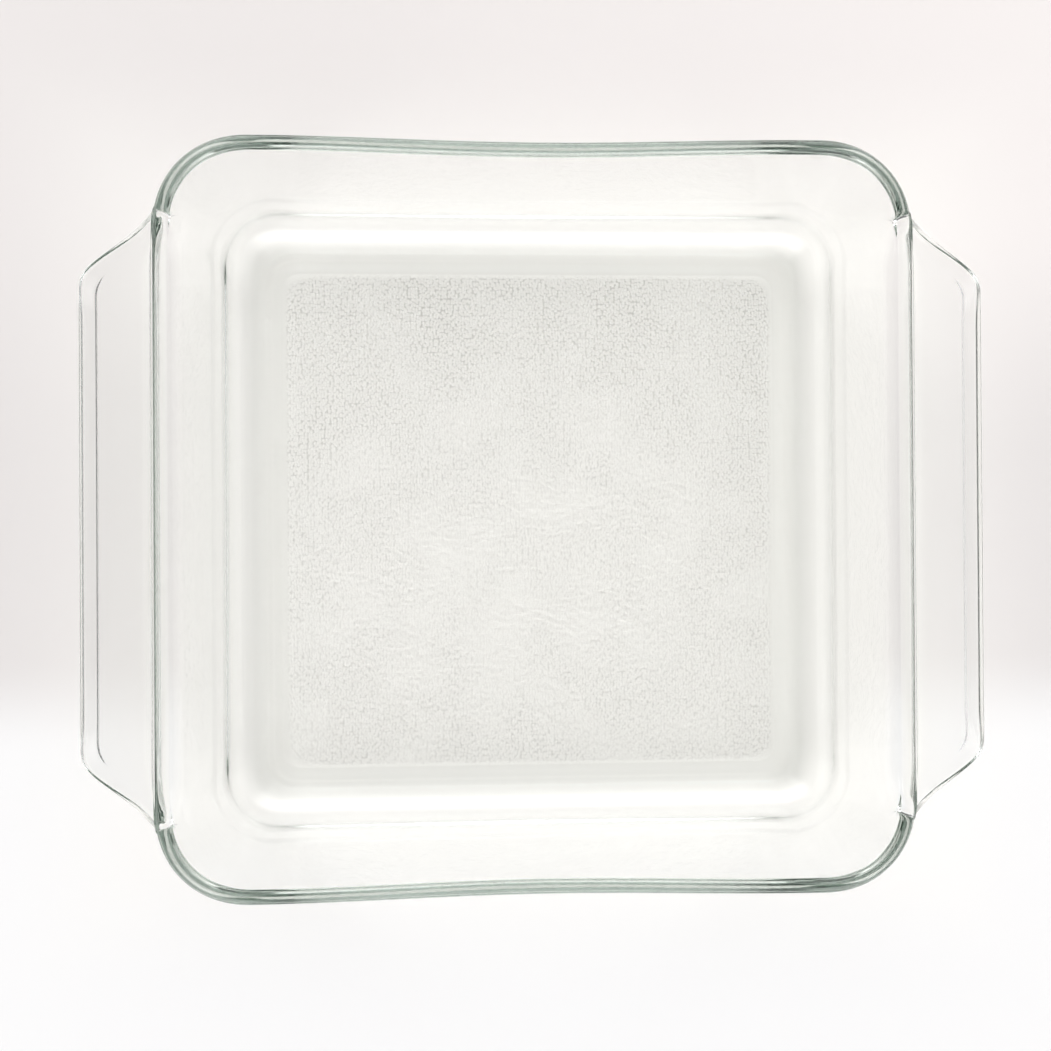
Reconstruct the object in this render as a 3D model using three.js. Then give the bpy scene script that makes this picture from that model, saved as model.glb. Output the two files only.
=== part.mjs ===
// A square baking dish of clear pressed glass: a flat floor on a low foot, four flaring walls
// with round corners and a soft-edged rim, and a tab handle with a finger lip on two opposite sides.
// Millimetres, +Z up. The origin is on the table under the middle of the dish, and the handles
// lie along X. The real dish is one piece of glass. Its zones are separate solids here, and
// neighbours meet face to face on shared points, so together they fill exactly the one piece.
import * as THREE from "three";

// Driving dimensions of the rim, seen from above
const rimSize = 220;
const rimCornerRadius = 26;
const rimBow = 1.5;

// Driving dimensions of the rim in section: the top of the walls, with softened edges
const height = 54;
const rimWidth = 4.6;
const rimHeight = 8.6;
const rimRound = 1.9;

// Driving dimensions of the walls in section: leans from upright in degrees, and heel radii
const innerLean = 12;
const outerLean = 11;
const innerHeelRadius = 17;
const outerHeelRadius = 13;

// Driving dimensions of the base
const floorThickness = 5;
const floorCornerRadius = 5.5;
const footHeight = 1;
const footWidth = 8;

// Driving dimensions of the handles: plates that reach out from the rim, with a hollow below the root
const handleReach = 21.4;
const handleEdgeLength = 142;
const handleSlant = 35;
const handleCornerRadius = 8;
const handleThickness = 4.6;
const handleStep = 2.6;
const handleTopRound = 1.5;
const handleUnderRound = 0.5;
const handleHollow = 8;

// Driving dimensions of the finger lip under each handle's outer edge
const lipLength = 130;
const lipWidth = 4;
const lipDepth = 2.6;
const lipRound = 1;

// How finely the round stretches are cut
const cornerSteps = 8;
const bowSteps = 10;
const heelSteps = 7;
const roundSteps = 3;
const hollowSteps = 5;
const tabCornerSteps = 6;

// Colours of the glass, plain and over the pebbled underside
const clearGlass = { color: 0xdce8e2, roughness: 0.06, opacity: 0.4 };
const pebbledGlass = { color: 0xe6ebe6, roughness: 0.3, opacity: 0.55 };

// Places that follow from the driving dimensions
const radians = THREE.MathUtils.degToRad;
const rimHalf = rimSize / 2;
const rimBottom = height - rimHeight;
const crestRound = Math.min(rimRound, 0.45 * rimWidth);
const outerCrest = new THREE.Vector2(rimHalf - crestRound, height - crestRound);
const innerCrest = new THREE.Vector2(rimHalf - rimWidth + crestRound, height - crestRound);
const floorTop = footHeight + floorThickness;
const innerHeel = heelCentre(innerWallAt, floorTop, innerHeelRadius, innerLean);
const outerHeel = heelCentre(outerWallAt, 0, outerHeelRadius, outerLean);
const floorHalf = innerHeel.x;
const footHalf = outerHeel.x;
const handleTop = height - handleStep;
const handleBottom = handleTop - handleThickness;

// Half the width of the dish between its inner wall faces at a height
function innerWallAt(z) {
  return innerCrest.x - crestRound - (innerCrest.y - z) * Math.tan(radians(innerLean));
}

// Half the width of the dish over its outer wall faces at a height
function outerWallAt(z) {
  const lean = radians(outerLean);
  return outerCrest.x + crestRound / Math.cos(lean) - (outerCrest.y - z) * Math.tan(lean);
}

// The centre of the arc that joins a level face at a height to a wall that leans outwards
function heelCentre(wallAt, level, radius, lean) {
  const z = level + radius;
  return new THREE.Vector2(wallAt(z) - radius / Math.cos(radians(lean)), z);
}

// Points along an arc, angles in degrees, both ends included
function arc(centre, radius, from, to, steps) {
  const points = [];
  for (let i = 0; i <= steps; i += 1) {
    const angle = radians(from + ((to - from) * i) / steps);
    points.push(new THREE.Vector2(centre.x + radius * Math.cos(angle), centre.y + radius * Math.sin(angle)));
  }
  return points;
}

// The plan radius of a corner at a half width, from the floor's tight corner to the rim's wide one
function cornerRadiusAt(half) {
  const share = Math.max(0, half - floorHalf) / (rimHalf - floorHalf);
  return floorCornerRadius + share * (rimCornerRadius - floorCornerRadius);
}

// How far the front and back are drawn in at a height, at a place from -1 to 1 along the side
function bowAt(z, along) {
  const share = Math.max(0, z - floorTop) / (height - floorTop);
  return rimBow * share * Math.cos((Math.PI / 2) * along) ** 2;
}

// Stations go round the dish anticlockwise: quarter 0 faces +X, 1 faces +Y, 2 faces -X, 3 faces -Y
function sideStations(quarter) {
  const bowed = quarter % 2 === 1;
  const steps = bowed ? bowSteps : 1;
  const stations = [];
  for (let i = 0; i <= steps; i += 1) {
    stations.push({ quarter, along: (2 * i) / steps - 1, turn: 0, bowed });
  }
  return stations;
}

// The stations of the round corner that follows a side
function cornerStations(quarter) {
  const stations = [];
  for (let i = 0; i <= cornerSteps; i += 1) {
    stations.push({ quarter, along: 1, turn: i / cornerSteps, bowed: false });
  }
  return stations;
}

// All the stations of a closed ring, each once
function ringStations() {
  const stations = [];
  for (let quarter = 0; quarter < 4; quarter += 1) {
    stations.push(...sideStations(quarter).slice(0, -1), ...cornerStations(quarter).slice(0, -1));
  }
  return stations;
}

// The place of a section point, given as half width and height, at a station
function placeAt(point, station) {
  const half = point.x;
  const radius = cornerRadiusAt(half);
  const facing = (station.quarter * Math.PI) / 2;
  const heading = facing + (station.turn * Math.PI) / 2;
  const drawnIn = station.bowed ? bowAt(point.y, station.along) : 0;
  const outward = half - radius - drawnIn;
  const sideways = (half - radius) * station.along;
  return new THREE.Vector3(
    Math.cos(facing) * outward - Math.sin(facing) * sideways + Math.cos(heading) * radius,
    Math.sin(facing) * outward + Math.cos(facing) * sideways + Math.sin(heading) * radius,
    point.y,
  );
}

// A geometry from places and from triangles that index them
function geometryFrom(places, triangles) {
  const geometry = new THREE.BufferGeometry().setFromPoints(places);
  geometry.setIndex(triangles.flat());
  geometry.computeVertexNormals();
  return geometry;
}

// A solid swept along stations from a section that runs anticlockwise, closed to a ring or capped
function sweptSolid(section, stations, closed) {
  const count = section.length;
  const places = stations.flatMap((station) => section.map((point) => placeAt(point, station)));
  const triangles = [];
  const spans = closed ? stations.length : stations.length - 1;
  for (let i = 0; i < spans; i += 1) {
    const here = i * count;
    const next = ((i + 1) % stations.length) * count;
    for (let j = 0; j < count; j += 1) {
      const k = (j + 1) % count;
      triangles.push([here + j, next + j, next + k], [here + j, next + k, here + k]);
    }
  }
  if (!closed) {
    const last = spans * count;
    for (const [a, b, c] of THREE.ShapeUtils.triangulateShape(section, [])) {
      triangles.push([a, b, c], [last + a, last + c, last + b]);
    }
  }
  return geometryFrom(places, triangles);
}

// A solid through level outlines that run anticlockwise, listed upwards, all with as many points
function stackedSolid(levels) {
  const count = levels[0].outline.length;
  const places = levels.flatMap(({ outline, z }) => outline.map(({ x, y }) => new THREE.Vector3(x, y, z)));
  const triangles = [];
  for (let i = 0; i < levels.length - 1; i += 1) {
    for (let j = 0; j < count; j += 1) {
      const here = i * count + j;
      const next = i * count + ((j + 1) % count);
      triangles.push([here, next, next + count], [here, next + count, here + count]);
    }
  }
  const top = (levels.length - 1) * count;
  for (const [a, b, c] of THREE.ShapeUtils.triangulateShape(levels[0].outline, [])) {
    triangles.push([a, c, b], [top + a, top + b, top + c]);
  }
  return geometryFrom(places, triangles);
}

// Levels that round off the lower edge of a face, from a function of the outline's inset and height
function lowerEdge(outlineAt, z, round) {
  return arc(new THREE.Vector2(0, round), round, -90, 0, roundSteps).map(({ x, y }) => ({
    outline: outlineAt(round - x, z + y),
    z: z + y,
  }));
}

// The same for an upper edge
function upperEdge(outlineAt, z, round) {
  return arc(new THREE.Vector2(0, -round), round, 0, 90, roundSteps).map(({ x, y }) => ({
    outline: outlineAt(round - x, z + y),
    z: z + y,
  }));
}

// The flat floor, from the recess under the dish to the inside, out to the heel
function floorPanel() {
  const edge = new THREE.Vector2(floorHalf, 0);
  const outline = ringStations().map((station) => placeAt(edge, station));
  return stackedSolid([
    { outline, z: footHeight },
    { outline, z: floorTop },
  ]);
}

// The angle on the outer heel arc at which the foot ends and the wall begins
function footAngle() {
  return THREE.MathUtils.radToDeg(Math.asin((footHeight - outerHeelRadius) / outerHeelRadius));
}

// The low ring that the dish stands on, around the recess
function footRing() {
  const inner = footHalf - footWidth;
  const section = [
    new THREE.Vector2(inner - footHeight, footHeight),
    new THREE.Vector2(inner, 0),
    ...arc(outerHeel, outerHeelRadius, -90, footAngle(), roundSteps),
    new THREE.Vector2(floorHalf, footHeight),
  ];
  return sweptSolid(section, ringStations(), true);
}

// The section of a wall: outer heel and outer face up to the rim, then down the inside
function wallSection() {
  return [
    new THREE.Vector2(floorHalf, footHeight),
    ...arc(outerHeel, outerHeelRadius, footAngle(), -outerLean, heelSteps),
    new THREE.Vector2(outerWallAt(rimBottom), rimBottom),
    new THREE.Vector2(innerWallAt(rimBottom), rimBottom),
    ...arc(innerHeel, innerHeelRadius, -innerLean, -90, heelSteps),
  ];
}

// The rim: the outer face up to the crest, over its softened edges and down the inner face
function rim() {
  const section = [
    new THREE.Vector2(innerWallAt(rimBottom), rimBottom),
    new THREE.Vector2(outerWallAt(rimBottom), rimBottom),
    ...arc(outerCrest, crestRound, -outerLean, 90, roundSteps),
    ...arc(innerCrest, crestRound, 90, 180, roundSteps),
  ];
  return sweptSolid(section, ringStations(), true);
}

// The plan of a tab on the +X side at a height: flat against the wall, with slanted sides and round corners
function tabOutline(z, edge, cornerHalf, radius) {
  const face = outerWallAt(z);
  const root = cornerHalf + (edge - face) * Math.tan(radians(handleSlant));
  const turn = 90 - handleSlant;
  const middle = cornerHalf - radius * Math.tan(radians(turn / 2));
  const arcTo = (side, from, to) =>
    arc(new THREE.Vector2(edge - radius, side * middle), radius, from, to, tabCornerSteps);
  return [
    new THREE.Vector2(face, -root),
    ...arcTo(-1, -turn, 0),
    ...arcTo(1, 0, turn),
    new THREE.Vector2(face, root),
  ];
}

// The plan of the handle's plate, drawn in by an inset
function handleOutline(inset, z) {
  const slant = radians(handleSlant);
  const cornerHalf = handleEdgeLength / 2 - inset * (1 / Math.cos(slant) - Math.tan(slant));
  return tabOutline(z, rimHalf + handleReach - inset, cornerHalf, handleCornerRadius - inset);
}

// Levels of the hollow that leads from the wall to the handle's underside, from just above its foot
function hollowLevels() {
  const foot = handleBottom - handleHollow * (1 - Math.sin(radians(outerLean)));
  const away = outerWallAt(foot) + handleHollow * Math.cos(radians(outerLean));
  const centre = new THREE.Vector2(away, handleBottom - handleHollow);
  const slope = Math.tan(radians(handleSlant));
  const points = arc(centre, handleHollow, 180 - outerLean, 90, hollowSteps).slice(1);
  return points.map(({ x, y }) => {
    const cornerHalf = handleEdgeLength / 2 + (rimHalf + handleReach - x) * slope - handleUnderRound;
    const radius = (x - outerWallAt(y)) / 2;
    return { outline: tabOutline(y, x, cornerHalf, radius), z: y };
  });
}

// A handle: the hollow under its root, then the plate with rounded edges
function handle() {
  return stackedSolid([
    ...hollowLevels(),
    ...lowerEdge(handleOutline, handleBottom, handleUnderRound),
    ...upperEdge(handleOutline, handleTop, handleTopRound),
  ]);
}

// The plan of the finger lip: a bar with round ends along the handle's outer edge
function lipOutline(inset) {
  const radius = lipWidth / 2 - inset;
  const middle = rimHalf + handleReach - handleUnderRound - lipWidth / 2;
  const end = lipLength / 2 - lipWidth / 2;
  return [
    ...arc(new THREE.Vector2(middle, end), radius, 0, 180, tabCornerSteps),
    ...arc(new THREE.Vector2(middle, -end), radius, 180, 360, tabCornerSteps),
  ];
}

// The finger lip that hangs below a handle
function fingerLip() {
  return stackedSolid([
    ...lowerEdge(lipOutline, handleBottom - lipDepth, lipRound),
    { outline: lipOutline(0), z: handleBottom },
  ]);
}

// A glass material of its own for each sub-part
function glass({ color, roughness, opacity }) {
  return new THREE.MeshStandardMaterial({ color, roughness, metalness: 0, transparent: true, opacity });
}

const dish = new THREE.Group();

// Adds a named sub-part, turned by quarter turns about the middle of the dish
function addPart(name, geometry, look, quarterTurns = 0) {
  const mesh = new THREE.Mesh(geometry, glass(look));
  mesh.name = name;
  mesh.rotation.z = (quarterTurns * Math.PI) / 2;
  dish.add(mesh);
}

addPart("floor_panel", floorPanel(), pebbledGlass);
addPart("foot_ring", footRing(), clearGlass);
addPart("rim", rim(), clearGlass);

// The walls that carry the handles are straight and the other two are drawn in, so each pair has its own
for (const [turns, name] of ["right", "back", "left", "front"].entries()) {
  addPart(`wall_${name}`, sweptSolid(wallSection(), sideStations(turns), false), clearGlass);
}
for (const [turns, name] of ["back_right", "back_left", "front_left", "front_right"].entries()) {
  addPart(`corner_${name}`, sweptSolid(wallSection(), cornerStations(turns), false), clearGlass);
}
for (const [turns, name] of [[0, "right"], [2, "left"]]) {
  addPart(`handle_${name}`, handle(), clearGlass, turns);
  addPart(`finger_lip_${name}`, fingerLip(), clearGlass, turns);
}

export default dish;
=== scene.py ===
"""Square baking dish: one body of clear pressed glass on a plain pale floor.

The file is laid out as a Blender add-on and is run as a script. Lengths are in metres.
"""
import math
import random

import bmesh
import bpy
from mathutils import Matrix, Vector
from mathutils.geometry import delaunay_2d_cdt


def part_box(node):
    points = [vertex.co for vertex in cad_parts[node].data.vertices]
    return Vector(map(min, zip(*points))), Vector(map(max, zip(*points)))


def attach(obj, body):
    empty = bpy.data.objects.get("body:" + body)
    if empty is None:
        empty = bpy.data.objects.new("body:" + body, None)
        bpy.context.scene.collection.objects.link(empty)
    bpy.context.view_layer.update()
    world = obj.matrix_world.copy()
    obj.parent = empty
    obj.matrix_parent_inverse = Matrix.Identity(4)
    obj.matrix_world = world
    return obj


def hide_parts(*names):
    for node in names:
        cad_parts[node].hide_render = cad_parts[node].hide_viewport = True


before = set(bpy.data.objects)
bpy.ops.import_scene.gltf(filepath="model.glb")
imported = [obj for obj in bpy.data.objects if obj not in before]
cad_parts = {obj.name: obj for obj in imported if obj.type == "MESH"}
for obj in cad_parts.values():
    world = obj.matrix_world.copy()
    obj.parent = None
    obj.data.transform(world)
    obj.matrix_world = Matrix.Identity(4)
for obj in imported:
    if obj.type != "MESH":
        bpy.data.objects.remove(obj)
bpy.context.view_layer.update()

bl_info = {
    "name": "Square baking dish",
    "version": (1, 0, 0),
    "blender": (4, 5, 0),
    "location": "3D View > Sidebar > Baking dish",
    "description": "Makes a pressed-glass baking dish and the stage that it stands on",
    "category": "Object",
}

RIM_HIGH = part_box("rim")[1]
FLOOR_LOW, FLOOR_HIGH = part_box("floor_panel")
HANDLE_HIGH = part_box("handle_right")[1]
LIP_LOW, LIP_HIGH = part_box("finger_lip_right")
MM = 0.001
# The handle's own thickness: its node's box also takes in the hollow below it.
HANDLE_THICKNESS = 4.6 * MM
# The finger lip fades out over this length on either side of its end.
LIP_FADE = 8 * MM
# How far the handle has to reach past the rim for its roundings, its edge and its heights to be in full.
ROOT_TAPER = 20 * MM
EDGE_TAPER = 2 * MM
FIRST_RISE = 1 * MM
# How far back the handle's outline follows the rim round its corners.
RIM_FALL = 6 * MM
# Plain wall kept between the foot of the handle's hollow and the outside section.
BELOW_HOLLOW = 0.5 * MM
# Points closer than the first are one point, and edges shorter than the second go.
WELD = 0.002 * MM
SLIVER = 0.0005 * MM
# The power that gives the square measure its slightly round corners.
SQUARENESS = 24.0
# Fixed seeds: the places of the pebbles' points, and their heights.
PLACE_SEED = 7
HEIGHT_SEED = 11
# How often light is followed through the glass and off the floor.
GLASS_BOUNCES = 64
FLOOR_BOUNCES = 6


def length(name, description, default):
    """A property for a length in metres."""
    return bpy.props.FloatProperty(
        name=name, description=description, default=default, unit="LENGTH", precision=5
    )


def angle(name, description, degrees):
    """A property for an angle."""
    return bpy.props.FloatProperty(
        name=name, description=description, default=math.radians(degrees), unit="ROTATION"
    )


def colour(name, description, default):
    """A property for a colour."""
    return bpy.props.FloatVectorProperty(
        name=name, description=description, default=default, subtype="COLOR", size=3, min=0, max=1
    )


def number(name, description, default):
    """A property for a plain number."""
    return bpy.props.FloatProperty(name=name, description=description, default=default, precision=4)


class DishSizes(bpy.types.PropertyGroup):
    """Sizes of the glass, the main ones read from the solids."""

    rim_half: length("Rim half width", "Middle of the dish to the rim's outside", RIM_HIGH.x)
    rim_top: length("Rim top", "Height of the rim's crest", RIM_HIGH.z)
    rim_width: length("Rim width", "Inside to outside of the rim", 4.6 * MM)
    rim_round: length("Rim rounding", "Radius of the crest's edges", 2.2 * MM)
    rim_corner: length("Rim corner", "Length of the rim's corners along each side", 27.5 * MM)
    corner_fullness: number("Corner fullness", "2 is a round corner, more is squarer", 2.15)
    rim_bow: length("Rim bow", "How far the front and back rims draw in at the middle", 1.5 * MM)
    floor_half: length("Floor half width", "Middle of the dish to the start of the heel", FLOOR_HIGH.x)
    floor_top: length("Floor top", "Height of the inside floor", FLOOR_HIGH.z)
    floor_bottom: length("Floor underside", "Height of the recess under the dish", FLOOR_LOW.z)
    floor_corner: length("Floor corner", "Length of the floor's corners along each side", 5.8 * MM)
    inner_lean: angle("Inner lean", "Lean of the inside wall from upright", 12)
    outer_lean: angle("Outer lean", "Lean of the outside wall from upright", 11)
    inner_heel: length("Inner heel", "Radius where the floor turns up into the wall", 17 * MM)
    outer_heel: length("Outer heel", "Radius of the outside below the wall", 13.5 * MM)
    foot_width: length("Foot width", "Flat width of the ring that the dish stands on", 2 * MM)
    foot_slope: length("Foot slope", "Width over which the foot runs up into the recess", 6 * MM)
    handle_reach: length("Handle reach", "Rim to the handle's outer edge", HANDLE_HIGH.x - RIM_HIGH.x)
    handle_top: length("Handle top", "Height of the handle's upper face", HANDLE_HIGH.z)
    handle_bottom: length(
        "Handle underside", "Height of the handle's lower face", HANDLE_HIGH.z - HANDLE_THICKNESS
    )
    handle_edge: length("Handle edge", "Outer edge between its sharp corners", 142 * MM)
    handle_slant: angle("Handle slant", "Slant of the handle's sides from its reach", 35)
    handle_soften: length("Handle corner", "How far the handle's corners are softened", 9 * MM)
    handle_round: length("Handle rounding", "Radius along the handle's edges", 1 * MM)
    handle_fillet: length("Handle fillet", "Hollow radius where the handle leaves the rim", 1.2 * MM)
    handle_hollow: length("Handle hollow", "Hollow radius under the handle, down to the wall", 8 * MM)
    handle_merge: length("Handle merge", "How softly the handle's sides run into the rim", 12 * MM)
    lip_half: length("Lip half length", "Middle of the handle to the end of its lip", LIP_HIGH.y)
    lip_width: length("Lip width", "Width of the finger lip", LIP_HIGH.x - LIP_LOW.x)
    lip_bottom: length("Lip underside", "Height of the finger lip's lower face", LIP_LOW.z)
    pebble_half: length("Pebble half width", "Middle of the dish to the edge of the pebbles", 81 * MM)
    pebble_pitch: length("Pebble pitch", "Distance between the points of the pebbled face", 0.74 * MM)
    pebble_depth: length("Pebble depth", "Height of the pebbles", 0.3 * MM)
    pebble_edge: length("Pebble edge", "Width over which the pebbles fade out", 2 * MM)
    pebble_shift: number("Pebble shift", "Random shift of the pebbles' points, in pitches", 0.22)
    floor_pitch: length("Floor pitch", "Distance between the points of the inside floor", 5 * MM)
    floor_margin: length("Floor margin", "Clear band inside the floor's edge without points", 4 * MM)


class GlassLook(bpy.types.PropertyGroup):
    """How the glass looks."""

    clear: colour("Glass", "Colour of the glass at its surface", (1.0, 1.0, 1.0))
    tint: colour("Tint", "Colour that is left after light crosses the glass", (0.525, 0.6, 0.55))
    tint_density: number("Tint density", "How fast the tint builds up, per metre", 13.2)
    ior: number("Refraction", "Index of refraction", 1.5)
    ripple_size: length("Ripple size", "Distance between the slow ripples of the pressed faces", 18 * MM)
    ripple_height: length("Ripple height", "Height of the slow ripples", 0.03 * MM)
    grit_size: length("Grit size", "Size of the small pebbles", 0.95 * MM)
    grit_height: length("Grit height", "Height of the small pebbles", 0.24 * MM)
    grit_scatter: number("Grit scatter", "How uneven the small pebbles lie, from 0 to 1", 0.75)
    # The grit shade and the seam values set painted shade: a darker base colour in the seams between the
    # small pebbles, from where it starts to where it is full, stronger in cloudy patches, towards the edge
    # of the floor and towards the back.
    painted_seam_shade: colour("Grit shade", "Colour that is left between the small pebbles", (0.55, 0.54, 0.525))
    seam_start: number("Seam start", "Where a seam starts, in grit sizes from a pebble's middle", 0.39)
    seam_full: number("Seam full", "Where a seam is deepest, in grit sizes from a pebble's middle", 0.71)
    painted_shade_base: number("Seam base", "Share of the shade that every seam has", 0.05)
    painted_shade_patches: number("Seam patches", "Share that is added in cloudy patches", 0.3)
    painted_shade_edge: number("Seam edge", "Share that is added towards the edge of the floor", 0.2)
    painted_shade_back: number("Seam back", "Share that is added towards the back of the floor", 0.35)
    patch_size: length("Patch size", "Size of the cloudy patches", 22 * MM)


class StageLook(bpy.types.PropertyGroup):
    """The floor, the light and the camera."""

    floor: colour("Floor", "Colour of the floor beside the dish", (0.746, 0.715, 0.707))
    # The floor under the dish holds a painted pool of light, lighter on the right.
    painted_pool_left: colour("Floor under left", "Colour of the floor under the dish's left", (0.955, 0.93, 0.9))
    painted_pool_right: colour("Floor under right", "Colour under the dish's right", (0.99, 0.965, 0.93))
    # Painted light makes the floor lighter at the back and whiter in front than beside the dish.
    painted_light_back: colour("Floor at the back", "Colour of the floor behind the dish", (0.866, 0.822, 0.81))
    painted_light_front: colour("Floor in front", "Colour of the floor in front of the dish", (0.897, 0.889, 0.892))
    floor_gap: length("Floor gap", "Clearance that keeps the floor off the foot's face", 0.1 * MM)
    tent_back: number("Back light", "Brightness of the tent's back wall", 2.26)
    tent_front: number("Front light", "Brightness of the tent's front wall", 2.26)
    tent_left: number("Left light", "Brightness of the tent's left wall", 0.12)
    tent_right: number("Right light", "Brightness of the tent's right wall", 0.8)
    overhead: number("Overhead light", "Brightness of the tent's opening overhead", 0.1)
    overhead_core: angle("Opening core", "Half angle of the opening's even middle", 10)
    overhead_edge: angle("Opening edge", "Half angle at which the opening ends", 35)
    horizon: number("Horizon", "Brightness of the tent where it meets the floor", 0.9)
    camera_distance: length("Camera distance", "Rim plane to the camera", 302.3 * MM)
    camera_right: length("Camera right", "Sideways shift of the dish in the view", 4.1 * MM)
    camera_up: length("Camera up", "Upward shift of the dish in the view", 2.3 * MM)
    camera_yaw: angle("Camera yaw", "Turn about the view's upright axis", 2.49)
    camera_pitch: angle("Camera pitch", "Turn about the view's level axis", -0.24)
    camera_roll: angle("Camera roll", "Turn about the line of sight", 0.36)
    camera_lens: number("Lens", "Focal length over frame width", 1053 / 1051)


def arc(centre, radius, start, stop, steps):
    """Points along an arc in section, angles in degrees, both ends included."""
    points = []
    for i in range(steps + 1):
        a = math.radians(start + (stop - start) * i / steps)
        points.append((centre[0] + radius * math.cos(a), centre[1] + radius * math.sin(a)))
    return points


def spread(start, stop, steps):
    """Points between two section points, both left out."""
    return [
        tuple(a + (b - a) * i / steps for a, b in zip(start, stop, strict=True)) for i in range(1, steps)
    ]


def wall_foot(start, lean, level, radius):
    """The centre of the arc that joins a leaning wall through a point to a level face."""
    z = level + radius
    half = start[0] - (start[1] - z) * math.tan(lean) - radius / math.cos(lean)
    return half, z


def outside_line(s):
    """The end of the crest, where the outside wall starts, and the wall's slope."""
    lean = s.outer_lean
    start = (
        s.rim_half - s.rim_round + s.rim_round * math.cos(lean),
        s.rim_top - s.rim_round - s.rim_round * math.sin(lean),
    )
    return start, math.tan(lean)


def outside_half(s, z):
    """The outside wall's half width at a height."""
    start, slope = outside_line(s)
    return start[0] - (start[1] - z) * slope


def hollow_foot(s):
    """The height at which the hollow under a handle runs out on the wall."""
    return s.handle_bottom - s.handle_hollow * (1 - math.sin(s.outer_lean))


def inside_section(s):
    """From just inside the floor's edge, up the inner wall and over the crest."""
    lean, outer_lean = math.degrees(s.inner_lean), math.degrees(s.outer_lean)
    crest_in = (s.rim_half - s.rim_width + s.rim_round, s.rim_top - s.rim_round)
    crest_out = (s.rim_half - s.rim_round, s.rim_top - s.rim_round)
    over = arc(crest_in, s.rim_round, 180 - lean, 90, steps=8)
    over += spread(over[-1], (crest_out[0], s.rim_top), steps=4)
    over += arc(crest_out, s.rim_round, 90, -outer_lean, steps=10)
    heel_centre = wall_foot(over[0], s.inner_lean, s.floor_top, s.inner_heel)
    heel = arc(heel_centre, s.inner_heel, -90, -lean, steps=20)
    flat = [(heel_centre[0] - 2 * MM, s.floor_top), (heel_centre[0] - 1 * MM, s.floor_top)]
    return flat + heel + spread(heel[-1], over[0], steps=8) + over


def outside_section(s):
    """From below the handle's hollow down the outer wall, round the heel and under the foot."""
    lean = math.degrees(s.outer_lean)
    low = hollow_foot(s) - BELOW_HOLLOW
    top = (outside_half(s, low), low)
    heel_centre = wall_foot(top, s.outer_lean, 0, s.outer_heel)
    heel = arc(heel_centre, s.outer_heel, -lean, -90, steps=16)
    foot_in = heel_centre[0] - s.foot_width
    slope = []
    steps = 8
    for i in range(steps + 1):
        rise = 0.5 - 0.5 * math.cos(math.pi * i / steps)
        slope.append((foot_in - s.foot_slope * i / steps, s.floor_bottom * rise))
    edge = [(slope[-1][0] - 0.4 * MM, s.floor_bottom)]
    wall = [top] + spread(top, heel[0], steps=8)
    return wall + heel + spread(heel[-1], slope[0], steps=3) + slope + edge


def band_section(s, count):
    """The outside of the rim down to the foot of the handle's hollow, as evenly spaced points."""
    top = outside_line(s)[0][1]
    low = hollow_foot(s) - BELOW_HOLLOW
    heights = [top + (low - top) * i / (count + 1) for i in range(1, count + 1)]
    return [(outside_half(s, z), z) for z in heights]


def tab_section(s):
    """The handle in section, as (share of the reach, root offset, inset, height, lip share).

    A point lies at the root offset where its share is 0, and at the outline's inset where it is 1.
    """
    fillet, hollow, edge = s.handle_fillet, s.handle_hollow, s.handle_round
    lean = math.degrees(s.outer_lean)
    under = 0.7 * edge
    thick_lip = s.lip_width - under
    drop = s.handle_bottom - s.lip_bottom
    root = outside_half(s, s.handle_top + fillet) - s.rim_half + fillet
    low = outside_half(s, hollow_foot(s)) - s.rim_half + hollow * math.cos(s.outer_lean)
    points = [
        (0, x, edge, z, 0)
        for x, z in arc((root, s.handle_top + fillet), fillet, 180, 270, steps=6)
    ]
    points += [(i / 6, root, edge, s.handle_top, 0) for i in range(1, 6)]
    points += [
        (1, root, edge - x, s.handle_top - edge + z, 0) for x, z in arc((0, 0), edge, 90, 0, steps=6)
    ]
    points += [
        (1, root, under - x, s.handle_bottom + under + z, 1)
        for x, z in arc((0, 0), under, 0, -90, steps=5)
    ]
    points += [
        (1, low, thick_lip - x, s.handle_bottom, 1 - (under + z) / drop)
        for x, z in arc((0, 0), under, -90, -180, steps=5)
    ]
    points += [(1, low, s.lip_width + fillet * i / 3, s.handle_bottom, 0) for i in range(1, 3)]
    points += [(1 - i / 5, low, s.lip_width + fillet, s.handle_bottom, 0) for i in range(1, 5)]
    points += [
        (0, x, edge, z, 0)
        for x, z in arc((low, s.handle_bottom - hollow), hollow, 90, 180 - lean, steps=10)
    ]
    return points


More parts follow.
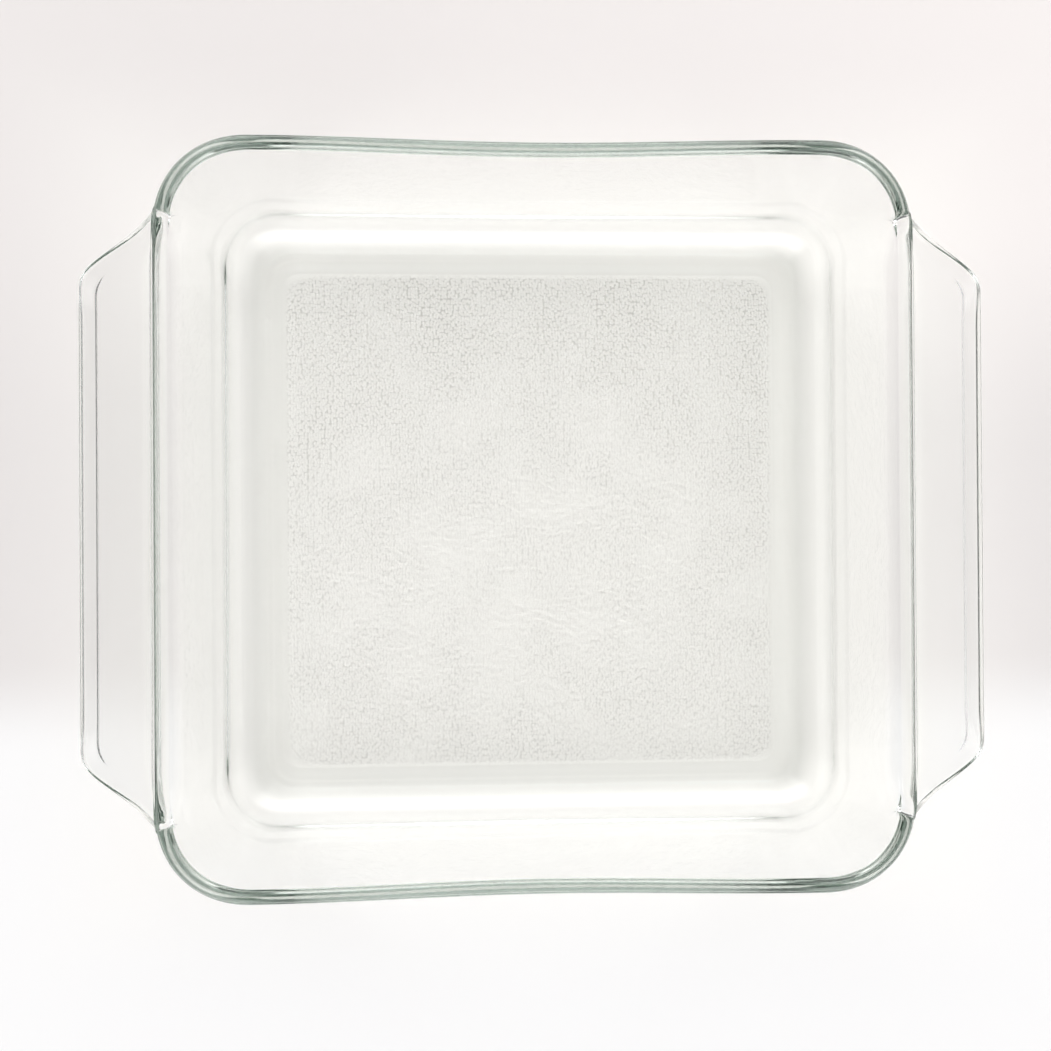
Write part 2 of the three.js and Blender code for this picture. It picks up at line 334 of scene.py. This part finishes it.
class Nodes:
    """Builds nodes in a tree with short calls."""

    def __init__(self, group):
        self.group = group

    def node(self, kind, **settings):
        """A node with its settings."""
        node = self.group.nodes.new(kind)
        for key, value in settings.items():
            setattr(node, key, value)
        return node

    def put(self, socket, value):
        """A value or another node's output on an input."""
        if isinstance(value, bpy.types.NodeSocket):
            self.group.links.new(value, socket)
        else:
            socket.default_value = value

    def math(self, operation, *values):
        """A number worked out from others."""
        node = self.node("ShaderNodeMath", operation=operation)
        for socket, value in zip(node.inputs, values):
            self.put(socket, value)
        return node.outputs[0]

    def ramp(self, value, low, high):
        """0 below a value, 1 above another, smooth between."""
        node = self.node("ShaderNodeMapRange", interpolation_type="SMOOTHSTEP")
        self.put(node.inputs["Value"], value)
        self.put(node.inputs["From Min"], low)
        self.put(node.inputs["From Max"], high)
        return node.outputs["Result"]

    def vector(self, x, y, z):
        """A vector from three numbers."""
        node = self.node("ShaderNodeCombineXYZ")
        for socket, value in zip(node.inputs, (x, y, z), strict=True):
            self.put(socket, value)
        return node.outputs[0]

    def split(self, vector):
        """The three numbers of a vector."""
        node = self.node("ShaderNodeSeparateXYZ")
        self.put(node.inputs[0], vector)
        return tuple(node.outputs)

    def vector_math(self, operation, *values):
        """A vector worked out from others."""
        node = self.node("ShaderNodeVectorMath", operation=operation)
        for socket, value in zip(node.inputs, values):
            self.put(socket, value)
        return node.outputs[0]

    def scaled(self, vector, amount):
        """A vector made longer or shorter."""
        node = self.node("ShaderNodeVectorMath", operation="SCALE")
        self.put(node.inputs["Vector"], vector)
        self.put(node.inputs["Scale"], amount)
        return node.outputs[0]

    def turned(self, vector, turn):
        """A vector turned about the upright axis."""
        node = self.node("ShaderNodeVectorRotate", rotation_type="Z_AXIS")
        self.put(node.inputs["Vector"], vector)
        self.put(node.inputs["Angle"], turn)
        return node.outputs[0]

    def between(self, first, second, share):
        """A number between two others."""
        gap = self.math("SUBTRACT", second, first)
        return self.math("MULTIPLY_ADD", share, gap, first)

    def reach(self, x, y):
        """How far a place lies from the middle, measured square with slightly round corners.

        The place is put in tenths of a metre, which keeps the powers in a float's range.
        """
        sides = [self.math("ABSOLUTE", self.math("MULTIPLY", value, 10.0)) for value in (x, y)]
        powers = [self.math("POWER", side, SQUARENESS) for side in sides]
        return self.math("MULTIPLY", self.math("POWER", self.math("ADD", *powers), 1 / SQUARENESS), 0.1)

    def noise(self, place, size, detail):
        """A cloudy number about 0.5 whose patches are about the given size across."""
        node = self.node("ShaderNodeTexNoise")
        self.put(node.inputs["Vector"], place)
        self.put(node.inputs["Scale"], 1 / size)
        self.put(node.inputs["Detail"], detail)
        return node.outputs["Fac"]

    def mixed(self, first, second, share):
        """A vector between two others."""
        node = self.node("ShaderNodeMix", data_type="VECTOR")
        sockets = [socket for socket in node.inputs if socket.enabled]
        for socket, value in zip(sockets, (share, first, second), strict=True):
            self.put(socket, value)
        return next(socket for socket in node.outputs if socket.enabled)


class Tree(Nodes):
    """A Geometry Nodes tree."""

    def __init__(self, name):
        super().__init__(bpy.data.node_groups.new(name, "GeometryNodeTree"))
        self.add_socket("Geometry", "NodeSocketGeometry", "OUTPUT")
        self.add_socket("Geometry", "NodeSocketGeometry", "INPUT")
        self.input = self.node("NodeGroupInput")
        self.output = self.node("NodeGroupOutput")

    def add_socket(self, name, kind, side="INPUT"):
        """A named socket on the tree."""
        return self.group.interface.new_socket(name=name, in_out=side, socket_type=kind)

    def size(self, name, kind="NodeSocketFloat"):
        """A named input of the tree."""
        self.add_socket(name, kind)
        return self.input.outputs[name]

    def attribute(self, name):
        """A named vector on the points."""
        node = self.node("GeometryNodeInputNamedAttribute", data_type="FLOAT_VECTOR")
        node.inputs["Name"].default_value = name
        return node.outputs["Attribute"]

    def sample(self, geometry, vector, index):
        """A vector taken from one point of another mesh."""
        node = self.node("GeometryNodeSampleIndex", data_type="FLOAT_VECTOR", domain="POINT")
        self.put(node.inputs["Geometry"], geometry)
        self.put(node.inputs["Value"], vector)
        self.put(node.inputs["Index"], index)
        return node.outputs["Value"]

    def finish(self, geometry, material):
        """Realize Instances and Set Material at the tree's end."""
        real = self.node("GeometryNodeRealizeInstances")
        self.put(real.inputs["Geometry"], geometry)
        paint = self.node("GeometryNodeSetMaterial")
        self.put(paint.inputs["Geometry"], real.outputs["Geometry"])
        self.put(paint.inputs["Material"], material)
        self.put(self.output.inputs["Geometry"], paint.outputs["Geometry"])


SWEEP_SIZES = (
    "rim_half", "rim_top", "rim_corner", "corner_fullness", "rim_bow",
    "floor_half", "floor_top", "floor_corner",
    "handle_reach", "handle_edge", "handle_slant", "handle_soften", "handle_merge", "handle_bottom",
    "lip_half", "lip_bottom",
)


def sweep_tree():
    """A section swept round a square with round corners, with a handle drawn out of two sides.

    The tree's geometry is the section, whose points hold half width and height. Points of the
    stations mesh hold the place along a side, the share of a corner's turn, and the quarter.
    """
    tree = Tree("Pressed sweep")
    stations = tree.node("GeometryNodeObjectInfo")
    tree.put(stations.inputs["Object"], tree.size("Stations", "NodeSocketObject"))
    size = {name: tree.size(name) for name in SWEEP_SIZES}
    material = tree.size("Material", "NodeSocketMaterial")
    section = tree.input.outputs["Geometry"]
    round_trip = stations.outputs["Geometry"]

    counts = []
    for mesh in (round_trip, section):
        domain = tree.node("GeometryNodeAttributeDomainSize", component="MESH")
        tree.put(domain.inputs["Geometry"], mesh)
        counts.append(domain.outputs["Point Count"])
    grid = tree.node("GeometryNodeMeshGrid")
    tree.put(grid.inputs["Vertices X"], counts[0])
    tree.put(grid.inputs["Vertices Y"], counts[1])
    index = tree.node("GeometryNodeInputIndex").outputs["Index"]
    station_index = tree.math("FLOOR", tree.math("DIVIDE", tree.math("ADD", index, 0.5), counts[1]))
    section_index = tree.math("SUBTRACT", index, tree.math("MULTIPLY", station_index, counts[1]))

    position = tree.node("GeometryNodeInputPosition").outputs["Position"]
    along, turn, quarter = tree.split(tree.sample(round_trip, position, station_index))
    half, _, height = tree.split(tree.sample(section, position, section_index))
    share, root, inset = tree.split(tree.sample(section, tree.attribute("tab_plan"), section_index))
    tab_height, lip, tab = tree.split(tree.sample(section, tree.attribute("tab_rise"), section_index))
    wall, _, _ = tree.split(tree.sample(section, tree.attribute("tab_wall"), section_index))

    facing = tree.math("MULTIPLY", quarter, math.pi / 2)
    bend = tree.math("MULTIPLY", turn, math.pi / 2)
    power = tree.math("DIVIDE", 2.0, size["corner_fullness"])
    corner = tree.vector(
        tree.math("POWER", tree.math("COSINE", bend), power),
        tree.math("POWER", tree.math("SINE", bend), power),
        0.0,
    )
    corner = tree.turned(corner, facing)
    growth = tree.math(
        "DIVIDE",
        tree.math("SUBTRACT", size["rim_corner"], size["floor_corner"]),
        tree.math("SUBTRACT", size["rim_half"], size["floor_half"]),
    )
    past_floor = tree.math("MAXIMUM", tree.math("SUBTRACT", half, size["floor_half"]), 0.0)
    radius = tree.math("MULTIPLY_ADD", past_floor, growth, size["floor_corner"])
    straight = tree.math("SUBTRACT", half, radius)

    rise = tree.math(
        "DIVIDE",
        tree.math("SUBTRACT", height, size["floor_top"]),
        tree.math("SUBTRACT", size["rim_top"], size["floor_top"]),
    )
    middle = tree.math("POWER", tree.math("COSINE", tree.math("MULTIPLY", along, math.pi / 2)), 2.0)
    bowed_side = tree.math("MODULO", quarter, 2.0)
    bow = tree.math("MULTIPLY", size["rim_bow"], tree.math("MULTIPLY", middle, bowed_side))
    bow = tree.math("MULTIPLY", bow, tree.math("MAXIMUM", rise, 0.0))
    flat = tree.vector(tree.math("SUBTRACT", straight, bow), tree.math("MULTIPLY", straight, along), height)
    plain = tree.vector_math("ADD", tree.turned(flat, facing), tree.scaled(corner, radius))

    rim_straight = tree.math("SUBTRACT", size["rim_half"], size["rim_corner"])
    rim_flat = tree.vector(rim_straight, tree.math("MULTIPLY", rim_straight, along), 0.0)
    rim_bend = tree.scaled(corner, size["rim_corner"])
    rim_place = tree.vector_math("ADD", tree.turned(rim_flat, facing), rim_bend)
    rim_x, rim_y, _ = tree.split(rim_place)
    side_y = tree.math("ABSOLUTE", rim_y)

    rim_fall = tree.math("SUBTRACT", tree.math("ABSOLUTE", rim_x), size["rim_half"])
    rim_fall = tree.math("MAXIMUM", rim_fall, -RIM_FALL)
    slope = tree.math("TANGENT", size["handle_slant"])
    root_half = tree.math(
        "MULTIPLY_ADD", size["handle_reach"], slope, tree.math("MULTIPLY", size["handle_edge"], 0.5)
    )

    def reach_at(inset_by):
        """How far the handle's outline, drawn in by an inset, reaches past the rim's half width."""
        drawn_in = tree.math("DIVIDE", inset_by, tree.math("COSINE", size["handle_slant"]))
        room = tree.math("SUBTRACT", tree.math("SUBTRACT", root_half, drawn_in), side_y)
        slanted = tree.math("DIVIDE", room, slope)
        level = tree.math("SUBTRACT", size["handle_reach"], inset_by)
        trimmed = tree.math("SMOOTH_MIN", level, slanted, size["handle_soften"])
        return tree.math("SMOOTH_MAX", trimmed, rim_fall, size["handle_merge"])

    full_reach = tree.math("SUBTRACT", reach_at(0.0), rim_fall)
    taper = tree.ramp(full_reach, 0.0, ROOT_TAPER)
    root = tree.math("ADD", tree.between(wall, root, taper), rim_fall)
    edge = reach_at(tree.math("MULTIPLY", inset, taper))
    edge = tree.between(tree.math("ADD", wall, rim_fall), edge, tree.ramp(full_reach, 0.0, EDGE_TAPER))
    out = tree.between(root, edge, share)
    out = tree.math("MULTIPLY", tree.math("ADD", size["rim_half"], out), tree.math("SIGN", rim_x))
    fade_start = tree.math("SUBTRACT", size["lip_half"], LIP_FADE)
    fade_end = tree.math("ADD", size["lip_half"], LIP_FADE)
    lip_here = tree.math("SUBTRACT", 1.0, tree.ramp(side_y, fade_start, fade_end))
    lip_drop = tree.math("MULTIPLY", lip, tree.math("SUBTRACT", size["handle_bottom"], size["lip_bottom"]))
    tab_z = tree.math("SUBTRACT", tab_height, tree.math("MULTIPLY", lip_drop, lip_here))
    handle = tree.vector(out, rim_y, tab_z)
    drawn = tree.math("MULTIPLY", tab, tree.ramp(full_reach, 0.0, FIRST_RISE))

    place = tree.node("GeometryNodeSetPosition")
    tree.put(place.inputs["Geometry"], grid.outputs["Mesh"])
    tree.put(place.inputs["Position"], tree.mixed(plain, handle, drawn))
    weld = tree.node("GeometryNodeMergeByDistance")
    tree.put(weld.inputs["Geometry"], place.outputs["Geometry"])
    tree.put(weld.inputs["Distance"], WELD)
    smooth = tree.node("GeometryNodeSetShadeSmooth")
    tree.put(smooth.inputs["Geometry"], weld.outputs["Geometry"])
    tree.finish(smooth.outputs["Geometry"], material)
    return tree.group


def pebble_tree():
    """Pushes the inner points of the underside down at random, with a soft edge to the pebbled square."""
    tree = Tree("Pebbled underside")
    half = tree.size("pebble_half")
    depth = tree.size("pebble_depth")
    fade = tree.size("pebble_edge")
    seed = tree.size("Seed", "NodeSocketInt")
    material = tree.size("Material", "NodeSocketMaterial")
    position = tree.node("GeometryNodeInputPosition").outputs["Position"]
    x, y, _ = tree.split(position)
    inside = tree.ramp(tree.reach(x, y), half, tree.math("SUBTRACT", half, fade))
    chance = tree.node("FunctionNodeRandomValue", data_type="FLOAT")
    tree.put(next(s for s in chance.inputs if s.name == "Seed"), seed)
    amount = next(s for s in chance.outputs if s.enabled)
    drop = tree.math("MULTIPLY", tree.math("MULTIPLY", tree.math("SUBTRACT", amount, 0.5), depth), inside)
    push = tree.node("GeometryNodeSetPosition")
    tree.put(push.inputs["Geometry"], tree.input.outputs["Geometry"])
    tree.put(push.inputs["Offset"], tree.vector(0.0, 0.0, tree.math("MULTIPLY", drop, -1.0)))
    smooth = tree.node("GeometryNodeSetShadeSmooth")
    tree.put(smooth.inputs["Geometry"], push.outputs["Geometry"])
    tree.finish(smooth.outputs["Geometry"], material)
    return tree.group


def polyline(name, points, attributes):
    """An object of loose points that carries named vectors for a tree to read."""
    mesh = bpy.data.meshes.new(name)
    mesh.from_pydata(points, [(i, i + 1) for i in range(len(points) - 1)], [])
    for key, values in attributes.items():
        layer = mesh.attributes.new(key, "FLOAT_VECTOR", "POINT")
        layer.data.foreach_set("vector", [number for value in values for number in value])
    piece = bpy.data.objects.new(name, mesh)
    bpy.context.scene.collection.objects.link(piece)
    return piece


def grown(piece, tree, values):
    """The plain mesh that a tree makes from an object with the given inputs."""
    modifier = piece.modifiers.new(tree.name, "NODES")
    modifier.node_group = tree
    for item in tree.interface.items_tree:
        if item.in_out == "INPUT" and item.name in values:
            modifier[item.identifier] = values[item.name]
    bpy.context.view_layer.update()
    evaluated = piece.evaluated_get(bpy.context.evaluated_depsgraph_get())
    mesh = bpy.data.meshes.new_from_object(evaluated)
    bpy.data.objects.remove(piece)
    return mesh


def station_points(s):
    """The places round the dish at which the section is set, as (place along a side, turn, quarter)."""
    straight = s.rim_half - s.rim_corner
    corner_steps, bowed_steps, lip_steps, slanted_steps = 13, 24, 6, 18
    middle_share = 0.5 ** (1 / s.corner_fullness)
    shares = [middle_share * i / corner_steps for i in range(corner_steps)]
    first = [math.asin(share ** (s.corner_fullness / 2)) * 2 / math.pi for share in shares]
    corner = first + [0.5] + [1 - turn for turn in reversed(first[1:])]
    points = []
    for quarter in range(4):
        if quarter % 2:
            side = [-math.cos(math.pi * i / bowed_steps) for i in range(bowed_steps)]
        else:
            edge = s.lip_half - LIP_FADE
            middle = [i / lip_steps * edge / straight for i in range(-lip_steps, lip_steps + 1)]
            slanted = [
                (edge + (straight - edge) * i / slanted_steps) / straight
                for i in range(1, slanted_steps + 1)
            ]
            side = [-a for a in reversed(slanted)] + middle + slanted[:-1]
        points += [(a, 0, quarter) for a in side]
        points += [(1, turn, quarter) for turn in corner]
    return points + points[:1]


def swept_body(s, material):
    """The glass from the edge of the floor, over the rim and the handles, to the recess under it."""
    tabs = tab_section(s)
    inside, outside = inside_section(s), outside_section(s)
    band = band_section(s, len(tabs))
    section = inside + band + outside
    none = [(0, 0, 0)]
    plan = none * len(inside) + [t[:3] for t in tabs] + none * len(outside)
    rise = none * len(inside) + [(t[3], t[4], 1) for t in tabs] + none * len(outside)
    behind = [(outside_half(s, t[3]) - s.rim_half, 0, 0) for t in tabs]
    wall = none * len(inside) + behind + none * len(outside)
    attributes = {"tab_plan": plan, "tab_rise": rise, "tab_wall": wall}
    line = polyline("dish_section", [(w, 0, z) for w, z in section], attributes)
    stations = polyline("dish_stations", station_points(s), {})
    values = {name: getattr(s, name) for name in SWEEP_SIZES}
    mesh = grown(line, sweep_tree(), values | {"Stations": stations, "Material": material})
    bpy.data.objects.remove(stations)
    return mesh


def boundary_loops(body):
    """The open edges of a mesh as loops of vertices."""
    open_edges = {edge for edge in body.edges if edge.is_boundary}
    loops = []
    while open_edges:
        edge = open_edges.pop()
        loop = list(edge.verts)
        while True:
            following = next((e for e in loop[-1].link_edges if e in open_edges), None)
            if following is None:
                break
            open_edges.remove(following)
            loop.append(following.other_vert(loop[-1]))
        loops.append(loop[:-1] if loop[0] is loop[-1] else loop)
    return loops


def panel_mesh(loop, pitch, half, jitter):
    """A level sheet that fills a loop, with a triangle grid of points inside a square."""
    draw = random.Random(PLACE_SEED)
    flat = [Vector((v.co.x, v.co.y)) for v in loop]
    row_height = pitch * math.sin(math.pi / 3)
    rows = int(half / row_height)
    columns = int(half / pitch)
    diagonal = max(abs(p.x) + abs(p.y) for p in flat)
    inner = []
    for row in range(-rows, rows + 1):
        for column in range(-columns, columns):
            x = (column + (0.25 if row % 2 else 0.75)) * pitch + draw.uniform(-jitter, jitter) * pitch
            y = row * row_height + draw.uniform(-jitter, jitter) * pitch
            if abs(x) + abs(y) < diagonal - pitch:
                inner.append(Vector((x, y)))
    edges = [(i, (i + 1) % len(flat)) for i in range(len(flat))]
    places, _, faces, *_ = delaunay_2d_cdt(flat + inner, edges, [], 1, 1e-7)
    mesh = bpy.data.meshes.new("panel")
    mesh.from_pydata([(p.x, p.y, loop[0].co.z) for p in places], [], faces)
    return mesh


def glass_dish(s, material):
    """The whole dish as one closed body."""
    body = bmesh.new()
    body.from_mesh(swept_body(s, material))
    loops = sorted(boundary_loops(body), key=lambda loop: loop[0].co.z)
    if len(loops) != 2:
        raise RuntimeError(f"the swept glass has {len(loops)} open edges, not 2")
    recess, floor = (max(v.co.x for v in loop) for loop in loops)
    pebble_half = min(s.pebble_half, recess - s.pebble_pitch)
    under = panel_mesh(loops[0], s.pebble_pitch, pebble_half, s.pebble_shift)
    above = panel_mesh(loops[1], s.floor_pitch, floor - s.floor_margin, 0.0)
    sheet = bpy.data.objects.new("underside", under)
    bpy.context.scene.collection.objects.link(sheet)
    values = {
        "pebble_half": pebble_half,
        "pebble_depth": s.pebble_depth,
        "pebble_edge": s.pebble_edge,
        "Seed": HEIGHT_SEED,
        "Material": material,
    }
    pebbled = grown(sheet, pebble_tree(), values)
    for mesh in (pebbled, above):
        body.from_mesh(mesh)
    bmesh.ops.remove_doubles(body, verts=body.verts, dist=WELD)
    bmesh.ops.dissolve_degenerate(body, edges=body.edges, dist=SLIVER)
    bmesh.ops.recalc_face_normals(body, faces=body.faces)
    loose = [edge for edge in body.edges if not edge.is_manifold]
    if loose:
        raise RuntimeError(f"the dish isn't closed at {len(loose)} edges")
    for face in body.faces:
        face.smooth = True
        face.material_index = 0
    mesh = bpy.data.meshes.new("glass_dish")
    body.to_mesh(mesh)
    body.free()
    mesh.materials.clear()
    mesh.materials.append(material)
    return mesh


def pressed_glass(look, sizes):
    """Clear glass with a faint green tint, slow ripples from the mould and a pebbled underside, whose small
    pebbles have painted shade in their seams.
    """
    material = bpy.data.materials.new("pressed_glass")
    material.use_nodes = True
    nodes, links = material.node_tree.nodes, material.node_tree.links
    tree = Nodes(material.node_tree)
    place = tree.node("ShaderNodeTexCoord").outputs["Object"]
    x, y, z = tree.split(place)
    square = tree.ramp(tree.reach(x, y), sizes.pebble_half + 1 * MM, sizes.pebble_half - 1 * MM)
    underneath = tree.ramp(z, 3 * MM, 2 * MM)
    pebbled = tree.math("MULTIPLY", square, underneath)
    grit = tree.node("ShaderNodeTexVoronoi", feature="F1", voronoi_dimensions="2D")
    tree.put(grit.inputs["Vector"], place)
    tree.put(grit.inputs["Scale"], 1 / look.grit_size)
    tree.put(grit.inputs["Randomness"], look.grit_scatter)
    grit_height = tree.math("MULTIPLY", pebbled, look.grit_height)
    grit_height = tree.math("MULTIPLY", grit.outputs["Distance"], grit_height)
    # Painted shade in the seams between the small pebbles, stronger in cloudy patches, towards the edge of
    # the floor and towards the back.
    patches = tree.ramp(tree.noise(place, look.patch_size, 1.0), 0.35, 0.6)
    outwards = tree.ramp(tree.reach(x, y), 20 * MM, 80 * MM)
    backwards = tree.ramp(y, -20 * MM, 70 * MM)
    painted_shade_strength = tree.math("MULTIPLY_ADD", patches, look.painted_shade_patches, look.painted_shade_base)
    painted_shade_strength = tree.math("MULTIPLY_ADD", outwards, look.painted_shade_edge, painted_shade_strength)
    painted_shade_strength = tree.math("MULTIPLY_ADD", backwards, look.painted_shade_back, painted_shade_strength)
    seams = tree.ramp(grit.outputs["Distance"], look.seam_start, look.seam_full)
    painted_shade_share = tree.math("MULTIPLY", tree.math("MULTIPLY", seams, painted_shade_strength), pebbled)
    ripple = tree.math("MULTIPLY", tree.noise(place, look.ripple_size, 1.0), look.ripple_height)
    bump = tree.node("ShaderNodeBump")
    tree.put(bump.inputs["Distance"], 1.0)
    tree.put(bump.inputs["Height"], tree.math("ADD", grit_height, ripple))
    shader = nodes["Principled BSDF"]
    tree.put(shader.inputs["Normal"], bump.outputs["Normal"])
    # The base colour darkens by the painted shade in the seams.
    clear_with_painted_shade = tree.mixed(tuple(look.clear), tuple(look.painted_seam_shade), painted_shade_share)
    tree.put(shader.inputs["Base Color"], clear_with_painted_shade)
    shader.inputs["Roughness"].default_value = 0.0
    shader.inputs["IOR"].default_value = look.ior
    shader.inputs["Transmission Weight"].default_value = 1.0
    inside = nodes.new("ShaderNodeVolumeAbsorption")
    inside.inputs["Color"].default_value = (*look.tint, 1)
    inside.inputs["Density"].default_value = look.tint_density
    links.new(inside.outputs["Volume"], nodes["Material Output"].inputs["Volume"])
    return material


def pale_floor(look):
    """A matt pale floor with painted light: whiter in front of the dish, lighter at the back, more so on
    the right, and a pool of painted light under the dish, lighter on its right.
    """
    material = bpy.data.materials.new("pale_floor")
    material.use_nodes = True
    tree = Nodes(material.node_tree)
    place = tree.node("ShaderNodeTexCoord").outputs["Object"]
    x, y, _ = tree.split(place)
    # Painted light: the floor is lighter behind the dish, more so towards the right, and whiter in front of
    # it than beside it.
    backwards = tree.ramp(y, 20 * MM, 110 * MM)
    painted_back_strength = tree.between(0.4, 1.0, tree.ramp(x, -200 * MM, 200 * MM))
    behind = tree.math("MULTIPLY", backwards, painted_back_strength)
    paint = tree.mixed(tuple(look.floor), tuple(look.painted_light_back), behind)
    painted_front_share = tree.ramp(y, -44 * MM, -78 * MM)
    paint = tree.mixed(paint, tuple(look.painted_light_front), painted_front_share)
    # A painted pool of light under the dish, lighter on its right, fading out beyond the dish's edge.
    rightwards = tree.ramp(x, -120 * MM, 120 * MM)
    under = tree.mixed(tuple(look.painted_pool_left), tuple(look.painted_pool_right), rightwards)
    distance = tree.reach(tree.math("MULTIPLY", x, 0.92), tree.math("MULTIPLY", y, 1.04))
    painted_pool = tree.ramp(distance, 170 * MM, 80 * MM)
    paint = tree.mixed(paint, under, painted_pool)
    shader = material.node_tree.nodes["Principled BSDF"]
    tree.put(shader.inputs["Base Color"], paint)
    shader.inputs["Roughness"].default_value = 0.9
    shader.inputs["Specular IOR Level"].default_value = 0.1
    return material


class DISH_OT_glass(bpy.types.Operator):
    """Makes the dish's glass body in place of the solids"""

    bl_idname = "dish.glass"
    bl_label = "Glass dish"

    def execute(self, context):
        """Adds the glass and hides the solids that it replaces."""
        scene = context.scene
        mesh = glass_dish(scene.dish_sizes, pressed_glass(scene.dish_glass, scene.dish_sizes))
        piece = bpy.data.objects.new("glass_dish", mesh)
        scene.collection.objects.link(piece)
        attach(piece, "root")
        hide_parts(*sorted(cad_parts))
        return {"FINISHED"}


class DISH_OT_stage(bpy.types.Operator):
    """Sets the floor, the light and the camera"""

    bl_idname = "dish.stage"
    bl_label = "Stage"

    def execute(self, context):
        """Lays the floor and sets the light, the camera and the view."""
        look = context.scene.dish_stage
        self.lay_floor(context.scene, look)
        self.set_light(context.scene, look)
        self.set_camera(context.scene, look)
        context.scene.view_settings.view_transform = "Standard"
        return {"FINISHED"}

    def lay_floor(self, scene, look):
        """A wide pale floor under the dish."""
        reach = 4.0
        level = -look.floor_gap
        mesh = bpy.data.meshes.new("floor")
        signs = [(-1, -1), (1, -1), (1, 1), (-1, 1)]
        mesh.from_pydata([(x * reach, y * reach, level) for x, y in signs], [], [(0, 1, 2, 3)])
        mesh.materials.append(pale_floor(look))
        floor = bpy.data.objects.new("floor", mesh)
        scene.collection.objects.link(floor)

    def set_light(self, scene, look):
        """A light tent with bright walls at the back and front, dim sides and a dim opening overhead."""
        world = bpy.data.worlds.new("light_tent")
        scene.world = world
        world.use_nodes = True
        tree = Nodes(world.node_tree)
        x, y, z = tree.split(tree.node("ShaderNodeTexCoord").outputs["Generated"])
        along, across = tree.math("MULTIPLY", y, y), tree.math("MULTIPLY", x, x)
        endways = tree.math("DIVIDE", along, tree.math("ADD", tree.math("ADD", along, across), 1e-6))
        backwards = tree.ramp(y, -0.3, 0.3)
        rightwards = tree.ramp(x, -0.3, 0.3)
        ends = tree.between(look.tent_front, look.tent_back, backwards)
        sides = tree.between(look.tent_left, look.tent_right, rightwards)
        glow = tree.between(sides, ends, tree.ramp(endways, 0.25, 0.75))
        opening = tree.ramp(z, math.cos(look.overhead_edge), math.cos(look.overhead_core))
        glow = tree.between(glow, look.overhead, opening)
        above_horizon = tree.ramp(z, 0.05, 0.35)
        glow = tree.between(look.horizon, glow, above_horizon)
        background = world.node_tree.nodes["Background"]
        background.inputs["Color"].default_value = (1, 1, 1, 1)
        tree.put(background.inputs["Strength"], glow)
        scene.cycles.blur_glossy = 0.0
        scene.cycles.max_bounces = GLASS_BOUNCES
        scene.cycles.transmission_bounces = GLASS_BOUNCES
        scene.cycles.glossy_bounces = GLASS_BOUNCES
        scene.cycles.diffuse_bounces = FLOOR_BOUNCES

    def set_camera(self, scene, look):
        """A camera above the dish, looking down into it almost squarely."""
        turn = (
            Matrix.Rotation(look.camera_roll, 3, "Z")
            @ Matrix.Rotation(look.camera_pitch, 3, "X")
            @ Matrix.Rotation(look.camera_yaw, 3, "Y")
        )
        shift = Vector((look.camera_right, look.camera_up, -look.camera_distance))
        data = bpy.data.cameras.new("camera")
        data.lens = data.sensor_width * look.camera_lens
        data.clip_start = 0.01
        data.clip_end = 50
        camera = bpy.data.objects.new("camera", data)
        rim = Vector((0, 0, scene.dish_sizes.rim_top))
        place = rim - turn.transposed() @ shift
        camera.matrix_world = Matrix.Translation(place) @ turn.transposed().to_4x4()
        scene.collection.objects.link(camera)
        scene.camera = camera


class DISH_PT_panel(bpy.types.Panel):
    """Shows the dish's operators and values"""

    bl_label = "Baking dish"
    bl_idname = "DISH_PT_panel"
    bl_space_type = "VIEW_3D"
    bl_region_type = "UI"
    bl_category = "Baking dish"

    def draw(self, context):
        """One button for each operator and a box for each group of values."""
        for operator in OPERATORS:
            self.layout.operator(operator.bl_idname)
        for name in PROPERTY_GROUPS:
            group = getattr(context.scene, name)
            box = self.layout.box()
            for key in group.bl_rna.properties.keys():
                if key not in {"rna_type", "name"}:
                    box.prop(group, key)


PROPERTY_GROUPS = {"dish_sizes": DishSizes, "dish_glass": GlassLook, "dish_stage": StageLook}
OPERATORS = (DISH_OT_glass, DISH_OT_stage)
CLASSES = (*PROPERTY_GROUPS.values(), *OPERATORS, DISH_PT_panel)


def register():
    """Adds the classes and their values to Blender."""
    for cls in CLASSES:
        bpy.utils.register_class(cls)
    for name, group in PROPERTY_GROUPS.items():
        setattr(bpy.types.Scene, name, bpy.props.PointerProperty(type=group))


def unregister():
    """Takes the classes and their values out again."""
    for name in PROPERTY_GROUPS:
        delattr(bpy.types.Scene, name)
    for cls in reversed(CLASSES):
        bpy.utils.unregister_class(cls)


def main():
    """Makes the dish and its stage."""
    register()
    bpy.ops.dish.glass()
    bpy.ops.dish.stage()


if __name__ == "__main__":
    main()
